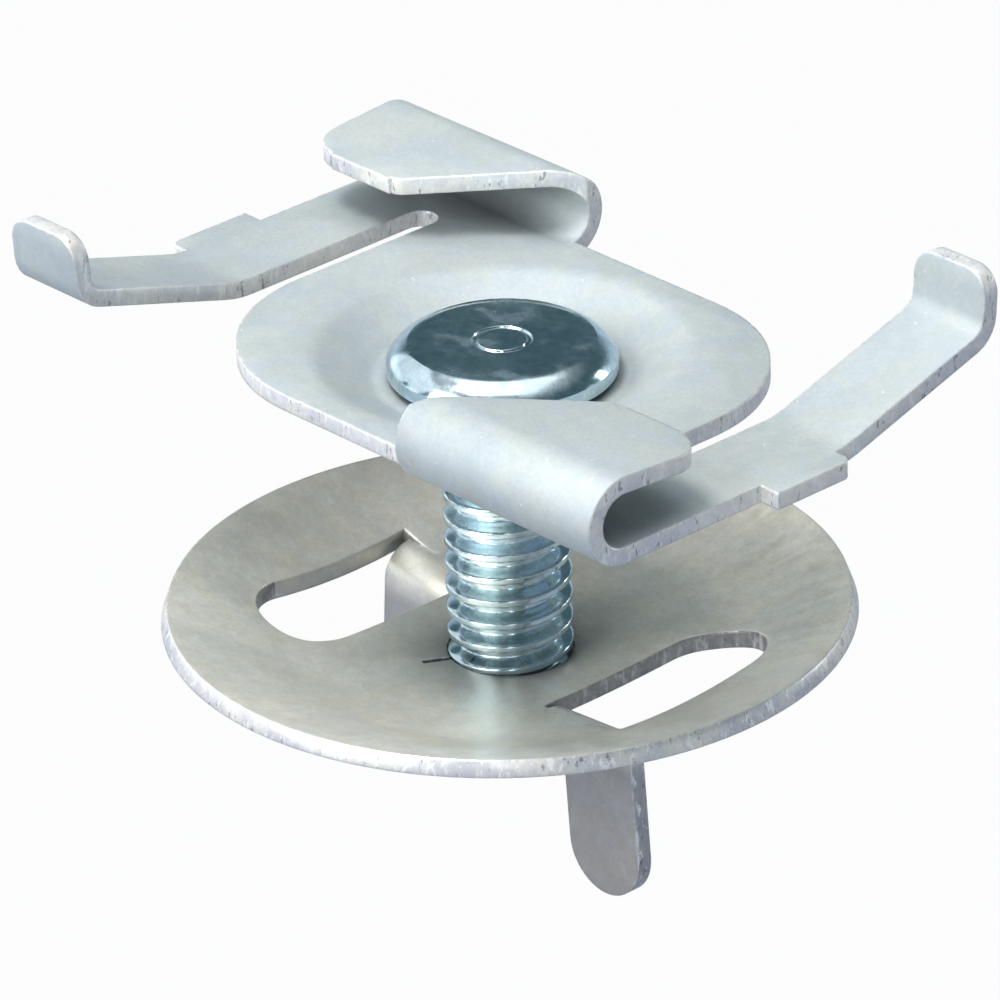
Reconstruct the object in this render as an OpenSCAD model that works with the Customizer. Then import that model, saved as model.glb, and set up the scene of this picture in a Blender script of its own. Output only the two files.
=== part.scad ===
// Twist clip with a sheet-metal wing nut, for a T-bar ceiling grid.
// Three pieces: a folded spring-steel clip, the headed stud pressed through it, and a dished wing nut.
// Origin: centre of the stud head's top face, where the flange rests. +Z up along the stud.
// Millimetres throughout. The clip and the nut both repeat after half a turn about the stud.

/* [Clip sheet] */
// Sheet thickness of the clip
clip_t = 0.9; // [0.7:0.05:1.1]
// Width of the centre plate between the two arm slots
plate_x = 26.4; // [24:0.2:28]
// Depth of the centre plate across its straight edges
plate_y = 21.8; // [20:0.2:23]
// Radius of the plate's two free corners
plate_corner = 9.2; // [6:0.2:10]
// Width of the slot between plate and arm
slot_w = 1.8; // [1.2:0.1:2.2]
// Distance of the slot's round end from the centre line
slot_end = 8.3; // [7.4:0.1:8.6]

/* [Dished seat] */
// Depth of the dished seat under the stud head
dish_depth = 1.4; // [0.8:0.1:1.8]
// Radius of the flat seat floor
seat_r = 6.2; // [6:0.1:7]
// Slope of the seat's wall, degrees
seat_slope = 26; // [20:1:32]
// Inside radius of the seat's two bends
seat_bend = 1.2; // [0.8:0.1:1.6]

/* [Hooks] */
// Inside reach of each hook from the centre line: half the flange it takes
throat_reach = 11.9; // [11.6:0.1:12.4]
// Inside radius of the hook's curl
curl_r = 1.4; // [1.1:0.1:1.7]
// Turn of the curl, a little past flat back, degrees
curl_turn = 184; // [180:1:188]
// Distance of the flap's free edge from the centre line
flap_edge = 4.95; // [4.6:0.05:6]
// Inner end of the hook along the fold
hook_in = 6.3; // [5.8:0.1:7]
// Inner end of the flap at its free edge
flap_in = 13.1; // [11:0.1:14]
// Radius of the flap's outer corner
flap_corner = 2; // [1:0.1:3]
// Radius of the flap's inner corner
flap_nose = 0.9; // [0.5:0.1:1.4]

/* [Arms] */
// Width of each spring arm
arm_w = 4.8; // [4:0.1:5.4]
// Distance from the centre line at which the arm starts to rise
arm_bend_y = 4; // [3:0.1:5]
// Slope of the rising arm, degrees
arm_slope = 16.7; // [12:0.1:20]
// Inside radius of the arm's first bend
arm_bend_r = 5; // [3:0.5:6]
// Distance of the end tab's outer face from the centre line
tab_reach = 14.4; // [13.8:0.1:15]
// Inside radius of the bend at the foot of the end tab
tab_bend_r = 0.9; // [0.6:0.1:1.2]
// Angle of the end tab to the plate, degrees
tab_angle = 86; // [80:1:90]
// Height of the end tab's top above the plate
tab_top = 5.8; // [5:0.1:7]
// Radius of the tab's top corners
tab_corner = 1.3; // [0.6:0.1:1.8]
// How far the side lug stands out from the arm
lug_out = 1.2; // [0.8:0.1:1.8]
// Distance of the lug's inner end past the centre line
lug_start = 1.6; // [1:0.1:2.4]
// Distance of the lug's outer end from the centre line
lug_end = 3.4; // [2.8:0.1:3.8]

/* [Stud] */
// Major diameter of the stud, 1/4 inch
stud_d = 6.35; // [6:0.05:6.6]
// Length of the stud under its head
stud_len = 19.05; // [17:0.05:21]
// Chamfer at the stud's free end
stud_tip = 0.7; // [0.4:0.1:1]
// Diameter of the stud's head
head_d = 11.5; // [10.5:0.1:12]
// Height of the head
head_h = 1.9; // [1.6:0.1:2.2]
// Radius of the head's rounded shoulder
head_round = 1.05; // [0.6:0.05:1.2]
// Mean radius of the ring groove on the head
ring_r = 1.5; // [1.2:0.1:2]
// Width of the ring groove
ring_w = 0.3; // [0.2:0.05:0.5]
// Overlap of the stud in the clip's punched hole, on the radius
press = 0.02; // [0.01:0.01:0.04]

/* [Wing nut] */
// Sheet thickness of the wing nut
nut_t = 0.9; // [0.7:0.05:1.1]
// Outside radius of the dished disc
disc_r = 17.45; // [16.6:0.05:18]
// Radius at which the disc's floor starts to curve up
floor_r = 9.5; // [8.5:0.1:10.5]
// Slope of the disc's floor, degrees
floor_slope = 4; // [0:0.5:6]
// Inside radius of the curve from floor to rim
dish_r = 8; // [6:0.5:10]
// Slope of the disc at its rim, degrees
rim_slope = 20; // [16:1:26]
// Distance from the stud head's top down to the disc at its hole
nut_drop = 17.1; // [15.5:0.1:17.4]
// Radial clearance of the nut on the stud
nut_gap = 0.05; // [0.02:0.01:0.1]
// Width of the slit that lets the threaded edge of the hole take its lead
slit_w = 0.3; // [0.2:0.05:0.5]
// Length of that slit past the hole's edge
slit_len = 1.5; // [1:0.1:2]

/* [Wings] */
// Width of each wing, as cut out of the disc
wing_w = 4.9; // [4.6:0.1:5.6]
// Distance of the wing's inner edge from the stud's axis at its root
wing_in = 6.5; // [6:0.1:7]
// Distance of the wing's bend line from the centre line
wing_root = 3.5; // [3:0.1:4]
// Inside radius of the wing's bend
wing_bend = 0.75; // [0.5:0.05:1]
// Lean of the wing, outwards at its tip, degrees
wing_lean = 4; // [3:0.5:8]
// Depth of the wing's tip below its root
wing_drop = 9.8; // [8:0.1:10.5]
// Length of the wing's slot from the centre line to its round end
slot_tip = 7.8; // [7:0.1:8.4]
// Clearance of the slot round the outline of the wing
cut_gap = 0.35; // [0.15:0.05:0.4]

/* [Hidden] */
eps = 0.01;
clip_top = -(head_h - dish_depth);
seat_z = clip_top - dish_depth;
plate_hx = plate_x / 2;
arm_in = plate_hx + slot_w;
arm_out = arm_in + arm_w;
hook_out = arm_out;
curl_c = throat_reach - curl_r;
tab_len = tab_top;
rise_y = arm_bend_y;
floor_z = -nut_drop;
hole_r = stud_d / 2 + nut_gap;
curve_x = dish_r * (sin(rim_slope) - sin(floor_slope));
rim_run = (disc_r - nut_t * sin(rim_slope) - floor_r - curve_x) / cos(rim_slope);
root_z = floor_z + (sqrt(wing_in * wing_in + wing_root * wing_root) - hole_r) * tan(floor_slope);
wing_out = wing_in + wing_w;
dish_steps = 10;
stud_end = seat_z - stud_len;
clip_steel = [0.77, 0.79, 0.80];
stud_steel = [0.70, 0.74, 0.77];
nut_steel = [0.70, 0.71, 0.70];

// ---- folding kit: a strip of sheet drawn edge-on, top face on y = 0, walking along +x ----
// Each step is [straight length, turn in degrees (up is positive), inside radius].
module wedge(a0, a1, r) {
    polygon([[0, 0], for (k = [0:4]) 2 * r * [cos(a0 + (a1 - a0) * k / 4), sin(a0 + (a1 - a0) * k / 4)]]);
}

module bend(turn, r, t) {
    if (turn > 0) {
        translate([0, r]) intersection() {
            difference() { circle(r = r + t, $fn = 96); circle(r = r, $fn = 96); }
            wedge(-90, -90 + turn, r + t);
        }
    } else {
        translate([0, -t - r]) intersection() {
            difference() { circle(r = r + t, $fn = 96); circle(r = r, $fn = 96); }
            wedge(90, 90 + turn, r + t);
        }
    }
}

module strip(steps, t, i = 0) {
    if (i < len(steps)) {
        run = steps[i][0];
        turn = steps[i][1];
        r = steps[i][2];
        if (run > 0) translate([-eps, -t]) square([run + 2 * eps, t]);
        translate([run, 0]) {
            if (turn != 0) bend(turn, r, t);
            if (turn > 0) translate([0, r]) rotate(turn) translate([0, -r]) strip(steps, t, i + 1);
            else if (turn < 0)
                translate([0, -t - r]) rotate(turn) translate([0, t + r]) strip(steps, t, i + 1);
            else strip(steps, t, i + 1);
        }
    }
}

// Stands a drawn (y, z) section up and runs it along x.
module along_x(x0, x1) {
    translate([x0, 0, 0]) rotate([90, 0, 90]) linear_extrude(x1 - x0) children();
}

// ---- clip ----
module plate_plan() {
    c = plate_corner;
    hx = plate_hx;
    hy = plate_y / 2;
    difference() {
        square([2 * hx, 2 * hy], center = true);
        for (turn = [0, 180]) rotate(turn) difference() {
            translate([hx - c, hy - c]) square([c + 1, c + 1]);
            translate([hx - c, hy - c]) circle(r = c, $fn = 128);
        }
    }
}

// Lower leg of a hook with the flat start of its arm, in plan.
module leg_plan() {
    difference() {
        union() {
            translate([-hook_out, slot_end - slot_w])
                square([hook_out - hook_in, curl_c - slot_end + slot_w]);
            translate([-arm_out, -rise_y + arm_bend_r * tan(arm_slope / 2)])
                square([arm_w, curl_c + rise_y - arm_bend_r * tan(arm_slope / 2)]);
            lug_plan();
        }
        arm_slot();
    }
}

module lug_plan() {
    r = 0.6;
    x0 = -arm_out - lug_out;
    translate([x0 + r, -lug_end]) square([lug_out, lug_start + lug_end]);
    translate([x0, -lug_end + r]) square([lug_out, lug_start + lug_end - r]);
    translate([x0 + r, -lug_end + r]) circle(r = r, $fn = 48);
}

// The slot that frees the arm from the plate.
module arm_slot() {
    translate([-arm_in, -plate_y]) square([slot_w, plate_y + slot_end - slot_w / 2]);
    translate([-arm_in + slot_w / 2, slot_end - slot_w / 2]) circle(d = slot_w, $fn = 64);
}

// What is cut away round the flap, in plan: slanted inner side, rounded nose and outer corner.
module flap_waste() {
    far = throat_reach - 0.1;
    slope = (flap_in - hook_in) / (far - flap_edge);
    phi = atan(1 / slope);
    n = flap_nose;
    lead = n * tan(phi / 2);
    r = flap_corner;
    difference() {
        translate([-flap_in - lead, flap_edge - 1]) square([flap_in + lead - hook_in + 1, far - flap_edge + 3]);
        // what stays: everything left of the slanted side
        polygon([[-flap_in - lead - 1, flap_edge + n], [-flap_in - lead, flap_edge + n],
            [-flap_in + lead * cos(phi), flap_edge + lead * sin(phi)], [-hook_in + 2, far + 2 / slope],
            [-hook_in + 2, far + 4], [-flap_in - lead - 1, far + 4]]);
        translate([-flap_in - lead, flap_edge + n]) circle(r = n, $fn = 96);
    }
    difference() {
        translate([-hook_out - 1, flap_edge - 1]) square([r + 1, r + 1]);
        translate([-hook_out + r, flap_edge + r]) circle(r = r, $fn = 96);
    }
}

module hook() {
    // The curl is full width up to its outermost line; above it the flap's outline is cut.
    difference() {
        along_x(-hook_out, -hook_in) translate([0, clip_top]) hook_section();
        translate([0, 0, clip_top + curl_r]) linear_extrude(curl_r + clip_t + 1) flap_waste();
    }
}

module hook_section() {
    translate([curl_c - 1, 0])
        strip([[1, curl_turn, curl_r], [(curl_c - flap_edge) / cos(curl_turn - 180), 0, 0]], clip_t);
}

// One side of the arm's section, k under its top face: first bend in 3 steps, tab bend in 5.
function arm_line(k, flat_to, run) =
    let (c1 = [flat_to, arm_bend_r],
         q = c1 - arm_bend_r * up(arm_slope) + run * dir(arm_slope),
         c2 = q + tab_bend_r * up(arm_slope),
         turn2 = tab_angle - arm_slope,
         tip = c2 - (tab_bend_r + k) * up(tab_angle) + tab_len * dir(tab_angle))
    concat([[flat_to - 1, -k]], [for (i = [0:3]) c1 - (arm_bend_r + k) * up(arm_slope * i / 3)],
        [for (i = [0:5]) c2 - (tab_bend_r + k) * up(arm_slope + turn2 * i / 5)], [tip]);

// Arm: flat start, first bend, rising run and the upturned end tab.
module arm() {
    flat_to = rise_y - arm_bend_r * tan(arm_slope / 2);
    turn2 = tab_angle - arm_slope;
    // Corner of the outer (lower) faces of the rising run and the tab.
    low_y = tab_reach;
    run_y = low_y - rise_y;
    run = (run_y - clip_t * sin(arm_slope)) / cos(arm_slope)
        - arm_bend_r * tan(arm_slope / 2) - (tab_bend_r + clip_t) * tan(turn2 / 2);
    intersection() {
        along_x(-arm_out, -arm_in) mirror([1, 0]) translate([0, clip_top])
            polygon(concat(arm_line(0, flat_to, run), [for (i = [11:-1:0]) arm_line(clip_t, flat_to, run)[i]]));
        union() {
            translate([-arm_out - 1, -tab_reach - 3, clip_top - 3]) cube([arm_w + 2, tab_reach + 3, 6]);
            translate([-arm_out, 0, clip_top]) rotate([90, 0, 0]) linear_extrude(tab_reach + 3) tab_face();
        }
    }
}

// Front outline of the end tab, with its two rounded top corners.
module tab_face() {
    r = tab_corner;
    square([arm_w, tab_top - r]);
    translate([r, 0]) square([arm_w - 2 * r, tab_top]);
    for (x = [r, arm_w - r]) translate([x, tab_top - r]) circle(r = r, $fn = 64);
}

// Dished seat: one revolved section of the sheet.
module seat() {
    b = seat_bend;
    drop = dish_depth - 2 * b * (1 - cos(seat_slope)) - clip_t * (1 - cos(seat_slope));
    run = max(drop / sin(seat_slope), 0.05);
    translate([0, 0, seat_z]) rotate_extrude($fn = 128)
        translate([stud_d / 2 - press, 0])
            strip([[seat_r - stud_d / 2 + press, seat_slope, b], [run, -seat_slope, b], [0.6, 0, 0]], clip_t);
}

function seat_out() =
    let (b = seat_bend,
         drop = dish_depth - 2 * b * (1 - cos(seat_slope)) - clip_t * (1 - cos(seat_slope)),
         run = max(drop / sin(seat_slope), 0.05))
    seat_r + (2 * b + clip_t) * sin(seat_slope) + run * cos(seat_slope);

module twist_clip() {
    color(clip_steel) union() {
        translate([0, 0, clip_top - clip_t]) linear_extrude(clip_t) difference() {
            union() {
                plate_plan();
                for (turn = [0, 180]) rotate(turn) leg_plan();
            }
            for (turn = [0, 180]) rotate(turn) arm_slot();
            circle(r = seat_out() + 0.3, $fn = 128);
        }
        seat();
        for (turn = [0, 180]) rotate(turn) {
            hook();
            arm();
        }
    }
}

// ---- stud ----
module stud() {
    hr = head_d / 2;
    sr = stud_d / 2;
    foot = 0.35;
    color(stud_steel) difference() {
        union() {
            // head: rounded shoulder above, small chamfer under the rim
            translate([0, 0, -head_h]) cylinder(r1 = hr - foot, r2 = hr, h = foot, $fn = 128);
            translate([0, 0, -head_h + foot]) cylinder(r = hr, h = head_h - foot - head_round, $fn = 128);
            translate([0, 0, -head_round]) rotate_extrude($fn = 128) {
                square([hr - head_round, head_round]);
                intersection() {
                    translate([hr - head_round, 0]) circle(r = head_round, $fn = 96);
                    square([hr, head_round]);
                }
            }
            // threaded length, drawn at its major diameter
            translate([0, 0, stud_end + stud_tip])
                cylinder(r = sr, h = stud_len - stud_tip + head_h / 2, $fn = 128);
            translate([0, 0, stud_end]) cylinder(r1 = sr - stud_tip, r2 = sr, h = stud_tip, $fn = 128);
        }
        // ring groove pressed into the head
        translate([0, 0, -0.12]) difference() {
            cylinder(r = ring_r + ring_w / 2, h = 1, $fn = 96);
            translate([0, 0, -1]) cylinder(r = ring_r - ring_w / 2, h = 3, $fn = 96);
        }
    }
}

// ---- wing nut ----
// Outline of a wing as punched: inner edge on x = 0, root towards -y, round tip at y = tip.
module tongue(tip, grow) {
    r = wing_w / 2 + grow;
    translate([-grow, 0]) square([2 * r, tip + grow - r]);
    translate([r - grow, tip + grow - r]) circle(r = r, $fn = 128);
}

function dir(a) = [cos(a), sin(a)];
function up(a) = [-sin(a), cos(a)];

// One side of the disc's section, k under its top face, from the hole out to the rim.
function dish_line(k) =
    let (c = [hole_r, floor_z] + (floor_r - hole_r) / cos(floor_slope) * dir(floor_slope)
             + dish_r * up(floor_slope),
         turn = rim_slope - floor_slope,
         in_end = [hole_r, floor_z] - 0.5 * dir(floor_slope) - k * up(floor_slope),
         out_end = c - (dish_r + k) * up(rim_slope) + rim_run * dir(rim_slope))
    concat([in_end], [for (i = [0:dish_steps]) c - (dish_r + k) * up(floor_slope + turn * i / dish_steps)],
        [out_end]);

module disc() {
    difference() {
        rotate_extrude($fn = 180)
            polygon(concat(dish_line(0), [for (i = [dish_steps + 2:-1:0]) dish_line(nut_t)[i]]));
        translate([0, 0, floor_z - 3]) cylinder(r = hole_r, h = 6, $fn = 128);
        // openings left by the wings
        for (turn = [0, 180]) rotate(turn) translate([wing_in, -wing_root, floor_z - nut_t - 1])
            linear_extrude(nut_t + 8) tongue(slot_tip + wing_root, cut_gap);
        // slit beside the threaded hole
        rotate(-112) translate([0, -slit_w / 2, floor_z - nut_t - 1])
            cube([hole_r + slit_len, slit_w, nut_t + 2]);
    }
}

// A wing on the +x side: it leaves the disc along +y and turns down.
module wing() {
    drop = wing_drop - wing_bend - nut_t;
    lap = 0.8;
    translate([wing_in, -wing_root, root_z]) rotate([0, -wing_lean, 0]) intersection() {
        along_x(0, wing_w) translate([-lap, 0])
            strip([[lap, -90, wing_bend], [drop, 0, 0]], nut_t);
        translate([0, wing_root + 2, 0.5]) rotate([90, 0, 0])
            linear_extrude(wing_root + 6) mirror([0, 1]) tongue(wing_drop + 0.5, 0);
    }
}

module wing_nut() {
    color(nut_steel) union() {
        disc();
        for (turn = [0, 180]) rotate(turn) wing();
    }
}

twist_clip();
stud();
wing_nut();
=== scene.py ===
"""Looks of the twist clip with its stud and dished wing nut: pale zinc plate on sheared sheet steel."""

import math
from collections import namedtuple

import bmesh
import bpy
from mathutils import Matrix, Vector
from mathutils.bvhtree import BVHTree


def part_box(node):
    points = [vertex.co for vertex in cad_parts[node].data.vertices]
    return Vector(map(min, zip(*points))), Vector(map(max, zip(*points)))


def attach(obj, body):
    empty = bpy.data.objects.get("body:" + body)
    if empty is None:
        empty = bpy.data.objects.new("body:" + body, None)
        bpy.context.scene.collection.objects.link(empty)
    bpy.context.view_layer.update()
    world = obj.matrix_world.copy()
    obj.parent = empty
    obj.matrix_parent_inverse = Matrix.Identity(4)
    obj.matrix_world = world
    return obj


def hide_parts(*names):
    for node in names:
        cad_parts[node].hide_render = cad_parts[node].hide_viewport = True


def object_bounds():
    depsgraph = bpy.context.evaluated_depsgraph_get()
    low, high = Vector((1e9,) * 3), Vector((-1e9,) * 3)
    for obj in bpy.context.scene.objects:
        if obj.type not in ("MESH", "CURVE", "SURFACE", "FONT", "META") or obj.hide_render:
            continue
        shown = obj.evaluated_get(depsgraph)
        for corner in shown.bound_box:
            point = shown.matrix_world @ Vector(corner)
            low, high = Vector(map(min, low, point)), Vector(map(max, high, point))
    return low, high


MM = 0.001

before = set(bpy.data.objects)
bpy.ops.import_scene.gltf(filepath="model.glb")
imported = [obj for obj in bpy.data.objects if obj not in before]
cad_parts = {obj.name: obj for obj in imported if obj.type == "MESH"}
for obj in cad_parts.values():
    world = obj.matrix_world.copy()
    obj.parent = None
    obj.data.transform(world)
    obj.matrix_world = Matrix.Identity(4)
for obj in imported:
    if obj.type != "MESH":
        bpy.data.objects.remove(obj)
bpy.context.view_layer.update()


# ---------------------------------------------------------------- node graph helpers
class Graph:
    """Short-hand for wiring a node tree."""

    def __init__(self, tree):
        self.tree = tree
        tree.nodes.clear()

    def add(self, kind, settings=None, **sockets):
        node = self.tree.nodes.new(kind)
        for key, value in (settings or {}).items():
            setattr(node, key, value)
        for key, value in sockets.items():
            self.put(node, key.replace("_", " "), value)
        return node

    def put(self, node, key, value):
        socket = node.inputs[int(key)] if key.isdigit() else node.inputs[key]
        if isinstance(value, bpy.types.NodeSocket):
            self.tree.links.new(value, socket)
        else:
            socket.default_value = value

    def math(self, operation, a, b=0.0, clamp=False):
        node = self.tree.nodes.new("ShaderNodeMath")
        node.operation = operation
        node.use_clamp = clamp
        self.put(node, "0", a)
        self.put(node, "1", b)
        return node.outputs[0]

    def noise(self, vector, scale, detail=3.0, rough=0.5, distortion=0.0):
        node = self.add("ShaderNodeTexNoise", Vector=vector, Scale=scale, Detail=detail, Roughness=rough,
                        Distortion=distortion)
        return node.outputs["Fac"]

    def ramp(self, value, low, high, to_low=0.0, to_high=1.0):
        node = self.add("ShaderNodeMapRange", {"interpolation_type": "SMOOTHSTEP"})
        for key, number in zip(("Value", "From Min", "From Max", "To Min", "To Max"),
                               (value, low, high, to_low, to_high)):
            self.put(node, key, number)
        return node.outputs["Result"]

    def layer(self, vector, layer, strength=1.0):
        """Where a noise layer shows, from 0 to its depth."""
        noise = self.noise(vector, *layer.noise)
        return self.ramp(noise, layer.low, layer.high, 0.0, layer.depth * strength)

    def mix(self, factor, a, b, blend="MIX"):
        node = self.tree.nodes.new("ShaderNodeMix")
        node.data_type = "RGBA"
        node.blend_type = blend
        for i, value in ((0, factor), (6, a), (7, b)):
            if isinstance(value, bpy.types.NodeSocket):
                self.tree.links.new(value, node.inputs[i])
            else:
                node.inputs[i].default_value = value
        return node.outputs[2]


# ---------------------------------------------------------------- zinc finishes
def rgb(r, g, b):
    """An sRGB colour from 0..255 as linear RGBA."""
    return tuple((c / 255) ** 2.2 for c in (r, g, b)) + (1.0,)


# noise settings are scale per mm, detail, roughness and distortion
CLOUDS = (0.16, 4.0, 0.55, 0.6)  # broad crystals of the plate
MOTTLE = (1.3, 5.0, 0.65, 0.3)  # finer mottle in them
SPECKS = (7.0, 3.0, 0.6)
STREAKS = (1.0, 2.0, 0.6)
CHIPS = (2.6, 4.0, 0.75)
CLOUD_SHARE = 0.55  # share of the clouds in the plate's tone, the rest being mottle
TONE_RANGE = (0.36, 0.62)

# a layer fades in from low to high of its noise, up to its depth
Layer = namedtuple("Layer", "noise low high depth")
CAST = Layer((0.33, 3.0, 0.6, 0.8), 0.40, 0.60, 1.0)  # where the plate turns from lavender to cream
FINE = Layer((4.2, 3.0, 0.6), 0.40, 0.62, 0.17)  # mottle a quarter of a millimetre across
BARE = Layer((2.3, 4.0, 0.7), 0.66, 0.74, 0.6)  # a few bare bright spots
DARK_SPECKS = Layer(SPECKS, 0.66, 0.73, 0.4)
TORN = Layer((2.4, 5.0, 0.7, 0.4), 0.53, 0.62, 0.8)  # pale tears down a cut face
PITS = Layer((2.9, 4.0, 0.7), 0.41, 0.34, 0.6)  # dark nicks in a cut face
SMEARS = Layer((0.45, 3.0, 0.55, 0.3), 0.44, 0.70, 1.0)  # duller patches on polished metal

CREAM = (1.0, 0.988, 0.95, 1.0)
LAVENDER = (0.965, 0.98, 1.0, 1.0)
WING_TINT = (0.56, 0.56, 0.61, 1.0)
WING_TINT_BLEND = 1.4  # mm over which the darker tint sets in
FINE_SHADE, SPECK_SHADE, PAINTED_SHADE_TONE = 0.72, 0.62, 0.25  # shares of the plate's dark tone
PIT_COLOUR = rgb(92, 94, 102)
CUT_STRETCH = (1.0, 1.0, 0.35)  # draws tears and nicks out down the cut
GRAIN_STRETCH = (0.5, 9.0, 9.0)  # draws the rolling grain out along the sheet
SMEAR_STRETCH = (0.6, 1.0, 1.0)
SMEAR_TURN = 0.7  # radians
PAINTED_SHADE_FADE = 0.6  # openness over which the painted shade in recesses and under nearby parts fades out
EDGE_TURN = (0.01, 0.16)  # how far a rounded normal leaves the true one on an edge
CHIP_LEVEL, CHIP_WEAR, CHIP_FADE = 0.62, 0.25, 0.1
MOTTLE_ROUGH, STREAK_ROUGH, WORN_ROUGH = 0.22, 0.06, 0.2
MOTTLE_BUMP, STREAK_BUMP, SPECK_BUMP = 0.5, 0.35, 0.2
BUMP_STRENGTH = 0.35
BUMP_DEPTH = 0.02 * MM
RAYS = 6  # rays of the occlusion and bevel nodes


def darker(colour, share):
    return tuple(share * c for c in colour[:3]) + (1.0,)


def plate_colour(g, mm, mottle, specks, pale, dark, edge):
    """Clouds of two tones with a wandering cast, fine mottle, bare spots and dark specks."""
    tone = g.math("ADD", g.math("MULTIPLY", g.noise(mm, *CLOUDS), CLOUD_SHARE),
                  g.math("MULTIPLY", mottle, 1 - CLOUD_SHARE))
    colour = g.mix(g.ramp(tone, *TONE_RANGE), dark, pale)
    colour = g.mix(1.0, colour, g.mix(g.layer(mm, CAST), LAVENDER, CREAM), blend="MULTIPLY")
    colour = g.mix(g.layer(mm, FINE), colour, darker(dark, FINE_SHADE))
    colour = g.mix(g.layer(mm, BARE), colour, edge)
    dots = g.ramp(specks, DARK_SPECKS.low, DARK_SPECKS.high, 0.0, DARK_SPECKS.depth)
    return g.mix(dots, colour, darker(dark, SPECK_SHADE))


def tinted_below(g, mm, colour, below):
    """Darker, bluer plate below a height, where the wings hang under the disc."""
    height = g.add("ShaderNodeSeparateXYZ", Vector=mm).outputs["Z"]
    low_colour = g.mix(1.0, colour, WING_TINT, blend="MULTIPLY")
    return g.mix(g.ramp(height, below - WING_TINT_BLEND, below, 1.0, 0.0), colour, low_colour)


def torn_cut(g, mm, colour, edge, nicks):
    """Pale tears and dark nicks down a cut face."""
    drawn = g.add("ShaderNodeMapping", Vector=mm, Scale=CUT_STRETCH).outputs[0]
    colour = g.mix(g.layer(drawn, TORN, nicks), colour, edge)
    return g.mix(g.layer(drawn, PITS, nicks), colour, PIT_COLOUR)


def painted_shade(g, colour, dark, shade, reach, start):
    """Painted shade: darker plate in recesses and under nearby parts, found by ambient occlusion, from
    openness start up.
    """
    openness = g.add("ShaderNodeAmbientOcclusion", {"samples": RAYS}, Distance=reach * MM).outputs["AO"]
    return g.mix(g.ramp(openness, start, PAINTED_SHADE_FADE + start, shade, 0.0), colour, darker(dark, PAINTED_SHADE_TONE))


def worn_edges(g, mm, wear, reach):
    """Chipped edges, found where a rounded normal leaves the true one, and that rounded normal."""
    rounded = g.add("ShaderNodeBevel", {"samples": RAYS}, Radius=reach * MM).outputs[0]
    true_normal = g.add("ShaderNodeNewGeometry").outputs["Normal"]
    facing = g.add("ShaderNodeVectorMath", {"operation": "DOT_PRODUCT"}, **{"0": rounded, "1": true_normal})
    turned = g.ramp(g.math("SUBTRACT", 1.0, facing.outputs["Value"]), *EDGE_TURN)
    level = CHIP_LEVEL - CHIP_WEAR * wear
    chips = g.ramp(g.noise(mm, *CHIPS), level, level + CHIP_FADE)
    return g.math("MULTIPLY", turned, chips, clamp=True), rounded


def zinc(name, pale, dark, edge, rough, metal, grain, wear, shade=0.6, nicks=0.0, smears=0.0,
         edge_reach=0.2, shade_reach=4.0, shade_from=0.15, tint_below=None):
    """Zinc-plated steel: mottled plate, fine rolling grain, chipped bright edges and painted shade in
    recesses.

    pale and dark are the plate's tones and edge its chips. grain, wear, shade, nicks and smears are strengths
    from 0 to 1, shade being the strength of the painted shade. The reaches and the height below which the
    plate is tinted darker are in mm.
    """
    material = bpy.data.materials.new(name)
    material.use_nodes = True
    g = Graph(material.node_tree)
    place = g.add("ShaderNodeTexCoord").outputs["Object"]
    mm = g.add("ShaderNodeVectorMath", {"operation": "SCALE"}, Vector=place, Scale=1 / MM).outputs[0]
    mottle = g.noise(mm, *MOTTLE)
    specks = g.noise(mm, *SPECKS)
    colour = plate_colour(g, mm, mottle, specks, pale, dark, edge)
    # below the wing root the plate is tinted darker and bluer
    if tint_below is not None:
        colour = tinted_below(g, mm, colour, tint_below)
    if nicks:
        colour = torn_cut(g, mm, colour, edge, nicks)
    # painted shade: the plate is darkened where ambient occlusion finds recesses or other parts nearby
    colour = painted_shade(g, colour, dark, shade, shade_reach, shade_from)
    worn, rounded = worn_edges(g, mm, wear, edge_reach)
    colour = g.mix(worn, colour, edge)
    stretched = g.add("ShaderNodeMapping", Vector=mm, Scale=GRAIN_STRETCH).outputs[0]
    streak = g.noise(stretched, *STREAKS)
    roughness = g.math("ADD", g.math("MULTIPLY", mottle, MOTTLE_ROUGH), rough - MOTTLE_ROUGH / 2)
    roughness = g.math("ADD", roughness, g.math("MULTIPLY", streak, STREAK_ROUGH * grain))
    roughness = g.math("SUBTRACT", roughness, g.math("MULTIPLY", worn, WORN_ROUGH), clamp=True)
    if smears:
        dragged = g.add("ShaderNodeMapping", Vector=mm, Rotation=(0, 0, SMEAR_TURN), Scale=SMEAR_STRETCH)
        smear = g.layer(dragged.outputs[0], SMEARS, smears)
        roughness = g.math("ADD", roughness, smear, clamp=True)
    height = g.math("ADD", g.math("MULTIPLY", mottle, MOTTLE_BUMP),
                    g.math("MULTIPLY", streak, STREAK_BUMP * grain))
    height = g.math("ADD", height, g.math("MULTIPLY", specks, SPECK_BUMP))
    bump = g.add("ShaderNodeBump", Strength=BUMP_STRENGTH, Distance=BUMP_DEPTH, Height=height, Normal=rounded)
    shader = g.add("ShaderNodeBsdfPrincipled", Base_Color=colour, Metallic=metal, Roughness=roughness,
                   Normal=bump.outputs[0])
    out = g.add("ShaderNodeOutputMaterial")
    g.tree.links.new(shader.outputs[0], out.inputs["Surface"])
    return material


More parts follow.
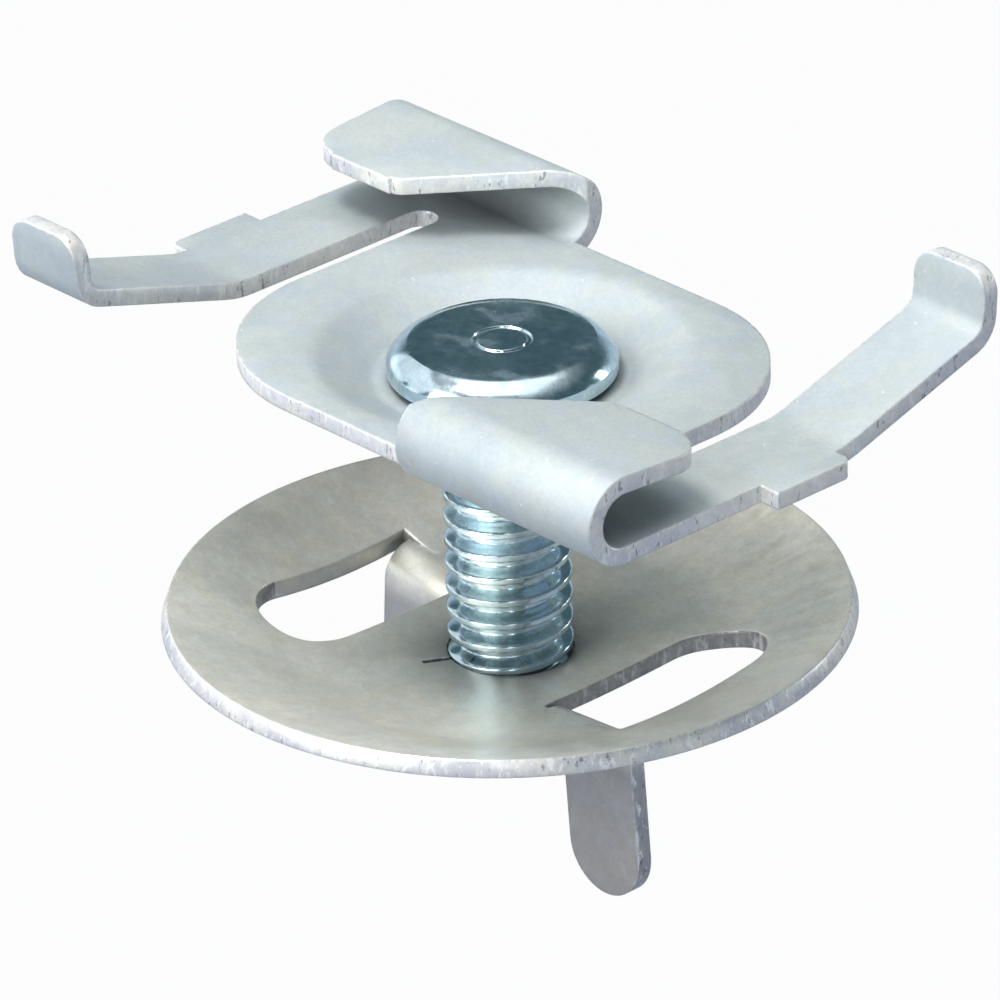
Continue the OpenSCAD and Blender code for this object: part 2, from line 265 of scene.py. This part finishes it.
WING_ROOT = -17.9  # mm, the underside of the nut's plate, where the wings are bent down
# painted shade: shade sets its strength; the clip's hook throats darken, and with shade_reach 15 mm the nut's
# disc darkens under the clip
clip_zinc = zinc("clip_zinc", rgb(191, 198, 199), rgb(180, 188, 191), rgb(248, 248, 246), 0.60,
                 metal=0.32, grain=0.5, wear=0.6, shade=1.0, shade_from=0.11)
nut_zinc = zinc("nut_zinc", rgb(244, 240, 228), rgb(224, 219, 206), rgb(250, 250, 250), 0.36,
                metal=0.5, grain=0.3, wear=0.6, shade=0.9, shade_reach=15.0, shade_from=0.27,
                tint_below=WING_ROOT)
stud_zinc = zinc("stud_zinc", rgb(211, 230, 240), rgb(178, 201, 213), rgb(248, 251, 255), 0.13,
                 metal=1.0, grain=0.1, wear=0.3, shade=0.0, smears=0.22, edge_reach=0.06)
clip_shear = zinc("clip_shear", rgb(250, 248, 242), rgb(222, 222, 226), rgb(255, 255, 252), 0.40,
                  metal=0.4, grain=0.2, wear=1.0, nicks=1.0)
nut_shear = zinc("nut_shear", rgb(242, 239, 232), rgb(208, 207, 213), rgb(255, 255, 252), 0.34,
                 metal=0.5, grain=0.2, wear=0.9, nicks=1.0, tint_below=WING_ROOT)
nut_cut = zinc("nut_cut", rgb(172, 170, 166), rgb(128, 127, 126), rgb(235, 233, 226), 0.42,
               metal=0.5, grain=0.2, wear=0.5, nicks=0.5)


# ---------------------------------------------------------------- sheet pieces
SHEET = 0.9 * MM
EDGE_ROUND = 0.09 * MM
MERGE_GAP = 0.002 * MM
FLAT_ANGLE = math.radians(0.3)  # CAD facets within this angle are one face
EASED_ANGLE = math.radians(50)  # edges sharper than this are eased
CREASE_ANGLE = math.radians(32)
CUT_DEPTH = 1.35 * SHEET  # a face with more steel than this behind it is a cut edge
RAY_LIFT = 0.01 * MM
SLOT_RIM = 15.5 * MM  # the slots' walls lie within this radius
SLOT_ZONE = 6.0 * MM  # and within this height below the disc's rim


def sheet_piece(node, finishes, name):
    """The solid's own form with eased edges.

    finishes are the sheet's faces, its cut edges and, where given, the slots' walls.
    """
    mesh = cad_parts[node].data.copy()
    piece = bpy.data.objects.new(name, mesh)
    bpy.context.collection.objects.link(piece)
    bm = bmesh.new()
    bm.from_mesh(mesh)
    bmesh.ops.remove_doubles(bm, verts=bm.verts, dist=MERGE_GAP)
    bmesh.ops.dissolve_limit(bm, angle_limit=FLAT_ANGLE, verts=bm.verts, edges=bm.edges)
    bm.to_mesh(mesh)
    bm.free()
    bevel = piece.modifiers.new("eased", "BEVEL")
    bevel.width = EDGE_ROUND
    bevel.segments = 2
    bevel.limit_method = "ANGLE"
    bevel.angle_limit = EASED_ANGLE
    bevel.use_clamp_overlap = True
    bake(piece)
    mesh = piece.data
    mesh.materials.clear()
    for finish in finishes:
        mesh.materials.append(finish)
    mark_sheared(mesh, len(finishes) > 2)
    mesh.shade_smooth()
    mesh.set_sharp_from_angle(angle=CREASE_ANGLE)
    return piece


def bake(piece):
    """Turns the piece's modifiers into its mesh."""
    shape = piece.evaluated_get(bpy.context.evaluated_depsgraph_get())
    mesh = bpy.data.meshes.new_from_object(shape)
    piece.modifiers.clear()
    piece.data = mesh


def widest_triangles(mesh):
    """Each face's largest triangle, whose middle lies on the face even where the face is hollow."""
    mesh.calc_loop_triangles()
    widest = {}
    for part in mesh.loop_triangles:
        if part.polygon_index not in widest or part.area > widest[part.polygon_index].area:
            widest[part.polygon_index] = part
    return widest


def mark_sheared(mesh, has_slots):
    """Gives cut edges the second finish, and slots' walls the third."""
    bm = bmesh.new()
    bm.from_mesh(mesh)
    tree = BVHTree.FromBMesh(bm)
    bm.free()
    widest = widest_triangles(mesh)
    slot_foot = max(v.co.z for v in mesh.vertices) - SLOT_ZONE
    for face in mesh.polygons:
        corners = [mesh.vertices[v].co for v in widest[face.index].vertices]
        middle = sum(corners, Vector()) / len(corners)
        inward = -face.normal
        depth = tree.ray_cast(middle + inward * RAY_LIFT, inward)[3]
        cut = depth is not None and depth > CUT_DEPTH
        slot_wall = has_slots and middle.xy.length < SLOT_RIM and middle.z > slot_foot
        face.material_index = 0 if not cut else 2 if slot_wall else 1


clip = sheet_piece("twist_clip", (clip_zinc, clip_shear), "clip_sheet")
nut = sheet_piece("wing_nut", (nut_zinc, nut_shear, nut_cut), "nut_sheet")
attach(clip, "clip")
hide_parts("twist_clip")
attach(nut, "nut")
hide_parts("wing_nut")

# ---------------------------------------------------------------- threaded stud
SIDES = 120
SHANK_RADIUS = 3.175 * MM
PITCH = 1.27 * MM
THREAD_DEPTH = 0.70 * MM
THREAD_START = 1.3 * MM  # below the head, just under the clip's plate
THREAD_STEP = 0.045 * MM  # height between the thread's rings of vertices
THREAD_PHASE = 0.2  # turns
CREST_HALF = 0.11  # half the flat crest, in turns
FLANK_WIDTH = 0.29  # a flank, in turns
HEAD_HEIGHT = 1.9 * MM
HEAD_CHAMFER = (1.12 * MM, 0.96 * MM)  # run and drop of the head's rounded shoulder
HEAD_FLAT = 0.55  # how far the rounded shoulder goes towards a straight chamfer
HEAD_STEPS = 16
HEAD_FOOT = 0.35 * MM  # chamfer under the head
HEAD_FILLET = 0.4 * MM
RING = (1.26 * MM, 1.50 * MM, 0.12 * MM)  # inner radius, outer radius and depth of the ring groove
RING_LIP = (0.03 * MM, 0.04 * MM)  # the groove's walls start and end this far outside and inside its radii
INNER_RADII = (0.3, 0.8, 1.1)  # mm, rings of vertices on the head's flat top, inside the groove
OUTER_RADII = (2.2, 3.0, 3.8, 4.2)  # and outside it
STUD_TIP = 0.7 * MM
TIP_RADII = (1.6, 0.5)  # mm
STUD_CREASE = math.radians(40)


def smooth(x):
    x = min(max(x, 0.0), 1.0)
    return x * x * (3 - 2 * x)


def thread_cut(turns):
    """Depth share of the thread at this many turns from a crest: 0 on the crest, 1 in the root."""
    flank = (abs(turns - round(turns)) - CREST_HALF) / FLANK_WIDTH
    return 0.5 * smooth(flank) + 0.5 * min(max(flank, 0.0), 1.0)


def head_rings(head_r, top):
    """The head's outline from the top centre down: (radius, height, thread's share)."""
    groove_in, groove_out, groove = RING
    outside, inside = RING_LIP
    rings = [(r * MM, top, 0.0) for r in INNER_RADII]
    rings.append((groove_in - outside, top, 0.0))
    rings.append((groove_in + inside, top - groove, 0.0))
    rings.append((groove_out - inside, top - groove, 0.0))
    rings.append((groove_out + outside, top, 0.0))
    rings += [(r * MM, top, 0.0) for r in OUTER_RADII]
    run, drop = HEAD_CHAMFER
    for i in range(HEAD_STEPS + 1):
        a = math.pi / 2 * i / HEAD_STEPS
        out = run * ((1 - HEAD_FLAT) * math.sin(a) + HEAD_FLAT * i / HEAD_STEPS)
        down = drop * ((1 - HEAD_FLAT) * (1 - math.cos(a)) + HEAD_FLAT * i / HEAD_STEPS)
        rings.append((head_r - run + out, top - down, 0.0))
    foot = top - HEAD_HEIGHT
    rings += [(head_r, foot + HEAD_FOOT, 0.0), (head_r - HEAD_FOOT, foot, 0.0)]
    rings += [(SHANK_RADIUS + HEAD_FILLET, foot, 0.0), (SHANK_RADIUS, foot, 0.0)]
    return rings


def shank_rings(foot, end):
    """The shank's outline from under the head down, in the same form."""
    start = foot - THREAD_START
    rings = [(SHANK_RADIUS, start, 0.0)]
    steps = int((start - end) / THREAD_STEP)
    for i in range(1, steps + 1):
        z = start + (end - start) * i / steps
        chamfer = max(0.0, STUD_TIP - (z - end))
        rings.append((SHANK_RADIUS - chamfer, z, smooth((start - z) / PITCH)))
    return rings + [(r * MM, end, 0.0) for r in TIP_RADII]


def stud_mesh(name):
    low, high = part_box("stud")
    top, end = high[2], low[2]
    rings = head_rings((high[0] - low[0]) / 2, top) + shank_rings(top - HEAD_HEIGHT, end)
    verts = [(0.0, 0.0, top)]
    for radius, z, cut in rings:
        for k in range(SIDES):
            a = 2 * math.pi * k / SIDES
            r = radius
            if cut > 0:
                turns = z / PITCH - k / SIDES + THREAD_PHASE
                r = min(radius, SHANK_RADIUS - THREAD_DEPTH * cut * thread_cut(turns))
            verts.append((r * math.cos(a), r * math.sin(a), z))
    verts.append((0.0, 0.0, end))
    last = len(verts) - 1
    faces = [(0, 1 + k, 1 + (k + 1) % SIDES) for k in range(SIDES)]
    for i in range(len(rings) - 1):
        a, b = 1 + i * SIDES, 1 + (i + 1) * SIDES
        for k in range(SIDES):
            n = (k + 1) % SIDES
            faces.append((a + k, b + k, b + n, a + n))
    base = 1 + (len(rings) - 1) * SIDES
    faces += [(last, base + (k + 1) % SIDES, base + k) for k in range(SIDES)]
    mesh = bpy.data.meshes.new(name)
    mesh.from_pydata(verts, [], faces)
    mesh.update()
    mesh.shade_smooth()
    mesh.set_sharp_from_angle(angle=STUD_CREASE)
    mesh.materials.append(stud_zinc)
    return mesh


stud = bpy.data.objects.new("threaded_stud", stud_mesh("threaded_stud"))
bpy.context.collection.objects.link(stud)
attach(stud, "clip")
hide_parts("stud")

# ---------------------------------------------------------------- floor, light, camera
FLOOR_SIZE = 6.0
FLOOR_DROP = 45 * MM
FLOOR_COLOUR = (0.19, 0.23, 0.31, 1.0)
FLOOR_WHITE = 0.97  # how white the camera sees the floor
FLOOR_GLOSS = 0.34  # and how white metal does
WHITE = (1.0, 1.0, 1.0, 1.0)

# the room's light by the height of a direction, from 0 at the horizon to 1 overhead
HORIZON, HORIZON_GLOSS = 0.20, 0.58  # light from the horizon, and what metal sees on top of it
BAND, BAND_LEVEL = (0.14, 0.34), 0.155  # the room darkens over this height to this level
ZENITH, ZENITH_LEVEL = (0.62, 0.92), 0.4
LOW_TINT, HIGH_TINT, TINT_RANGE = (0.80, 0.90, 1.0, 1.0), (0.93, 0.97, 1.0, 1.0), (0.1, 0.8)
BAND_TINT, BAND_IN, BAND_OUT = (0.55, 0.90, 1.0, 1.0), (0.12, 0.34), (0.55, 0.85)

# name, place and size in m, power in W
LAMPS = (
    ("key", (-0.10, -0.25, 0.78), (0.26, 0.26), 3.8),
    ("above", (0.02, 0.02, 0.82), (0.70, 0.70), 1.9),
    ("front", (-0.08, -0.58, 0.30), (0.50, 0.50), 3.4),
    ("left", (-0.72, -0.25, 0.30), (0.90, 0.90), 2.4),
    ("far_right", (0.28, 0.86, 0.24), (0.14, 0.34), 0.9),
    ("glint", (0.46, -0.46, 0.30), (0.10, 0.30), 0.45),
)
LAMP_AIM = (0, 0, -8 * MM)


def white_floor():
    low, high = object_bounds()
    bpy.ops.mesh.primitive_plane_add(size=FLOOR_SIZE, location=(0, 0, low[2] - FLOOR_DROP))
    floor = bpy.context.object
    floor.name = "floor"
    material = bpy.data.materials.new("floor_white")
    material.use_nodes = True
    g = Graph(material.node_tree)
    path = g.add("ShaderNodeLightPath")
    seen = g.math("MAXIMUM", path.outputs["Is Camera Ray"], path.outputs["Is Transmission Ray"])
    seen = g.math("MAXIMUM", seen, g.math("MULTIPLY", path.outputs["Is Glossy Ray"], FLOOR_GLOSS))
    diffuse = g.add("ShaderNodeBsdfDiffuse", Color=FLOOR_COLOUR)
    glow = g.add("ShaderNodeEmission", Color=WHITE, Strength=1.0)
    both = g.add("ShaderNodeMixShader")
    g.put(both, "0", g.math("MULTIPLY", seen, FLOOR_WHITE))
    g.tree.links.new(diffuse.outputs[0], both.inputs[1])
    g.tree.links.new(glow.outputs[0], both.inputs[2])
    out = g.add("ShaderNodeOutputMaterial")
    g.tree.links.new(both.outputs[0], out.inputs["Surface"])
    floor.data.materials.append(material)


def soft_box(name, place, size, power):
    lamp = bpy.data.lights.new(name, "AREA")
    lamp.shape = "RECTANGLE"
    lamp.size, lamp.size_y = size
    lamp.energy = power
    holder = bpy.data.objects.new(name, lamp)
    bpy.context.collection.objects.link(holder)
    holder.location = place
    holder.rotation_euler = (Vector(LAMP_AIM) - Vector(place)).to_track_quat("-Z", "Y").to_euler()


def room():
    """A plain room: bright low down, a dark teal band above, brighter overhead; white to the camera."""
    world = bpy.data.worlds.new("studio")
    bpy.context.scene.world = world
    world.use_nodes = True
    g = Graph(world.node_tree)
    path = g.add("ShaderNodeLightPath")
    direction = g.add("ShaderNodeTexCoord").outputs["Generated"]
    height = g.add("ShaderNodeSeparateXYZ", Vector=direction).outputs["Z"]
    horizon = g.math("ADD", HORIZON, g.math("MULTIPLY", path.outputs["Is Glossy Ray"], HORIZON_GLOSS))
    low = g.ramp(height, *BAND, horizon, BAND_LEVEL)
    level = g.math("ADD", low, g.ramp(height, *ZENITH, 0.0, ZENITH_LEVEL))
    tint = g.mix(g.ramp(height, *TINT_RANGE), LOW_TINT, HIGH_TINT)
    dark = g.math("MULTIPLY", g.ramp(height, *BAND_IN), g.ramp(height, *BAND_OUT, 1.0, 0.0))
    tint = g.mix(dark, tint, BAND_TINT)
    walls = g.add("ShaderNodeBackground", Color=tint, Strength=level)
    white = g.add("ShaderNodeBackground", Color=WHITE, Strength=1.0)
    both = g.add("ShaderNodeMixShader")
    g.put(both, "0", path.outputs["Is Camera Ray"])
    g.tree.links.new(walls.outputs[0], both.inputs[1])
    g.tree.links.new(white.outputs[0], both.inputs[2])
    out = g.add("ShaderNodeOutputWorld")
    g.tree.links.new(both.outputs[0], out.inputs["Surface"])


CAMERA_DISTANCE = 419.3 * MM
CAMERA_AZIMUTH = 47.84  # degrees round from -Y
CAMERA_RISE = 25.93  # degrees above the plate's plane
CAMERA_PITCH = 26.95  # degrees down
CAMERA_YAW = -0.05
CAMERA_ROLL = -1.71
CAMERA_LENS = 306.5  # mm
CAMERA_SENSOR = 36  # mm
CAMERA_DROP = 0.5 * MM
CAMERA_CLIP = (0.01, 20)


def camera():
    rise, pitch, yaw, roll = (math.radians(a) for a in (CAMERA_RISE, CAMERA_PITCH, CAMERA_YAW, CAMERA_ROLL))
    turn = Matrix.Rotation(math.radians(CAMERA_AZIMUTH), 3, "Z")
    place = turn @ Vector((0, -math.cos(rise), math.sin(rise))) * CAMERA_DISTANCE
    place -= Vector((0, 0, CAMERA_DROP))
    ahead = Vector((math.cos(pitch) * math.sin(yaw), math.cos(pitch) * math.cos(yaw), -math.sin(pitch)))
    right = ahead.cross(Vector((0, 0, 1))).normalized()
    above = right.cross(ahead)
    right, above = (right * math.cos(roll) + above * math.sin(roll),
                    above * math.cos(roll) - right * math.sin(roll))
    right, above, ahead = turn @ right, turn @ above, turn @ ahead
    lens = bpy.data.cameras.new("camera")
    lens.lens = CAMERA_LENS
    lens.sensor_width = CAMERA_SENSOR
    lens.clip_start, lens.clip_end = CAMERA_CLIP
    holder = bpy.data.objects.new("camera", lens)
    bpy.context.collection.objects.link(holder)
    axes = Matrix((right, above, -ahead)).transposed().to_4x4()
    holder.matrix_world = Matrix.Translation(place) @ axes
    bpy.context.scene.camera = holder


white_floor()
room()
for lamp in LAMPS:
    soft_box(*lamp)
camera()
bpy.context.scene.view_settings.view_transform = "Standard"
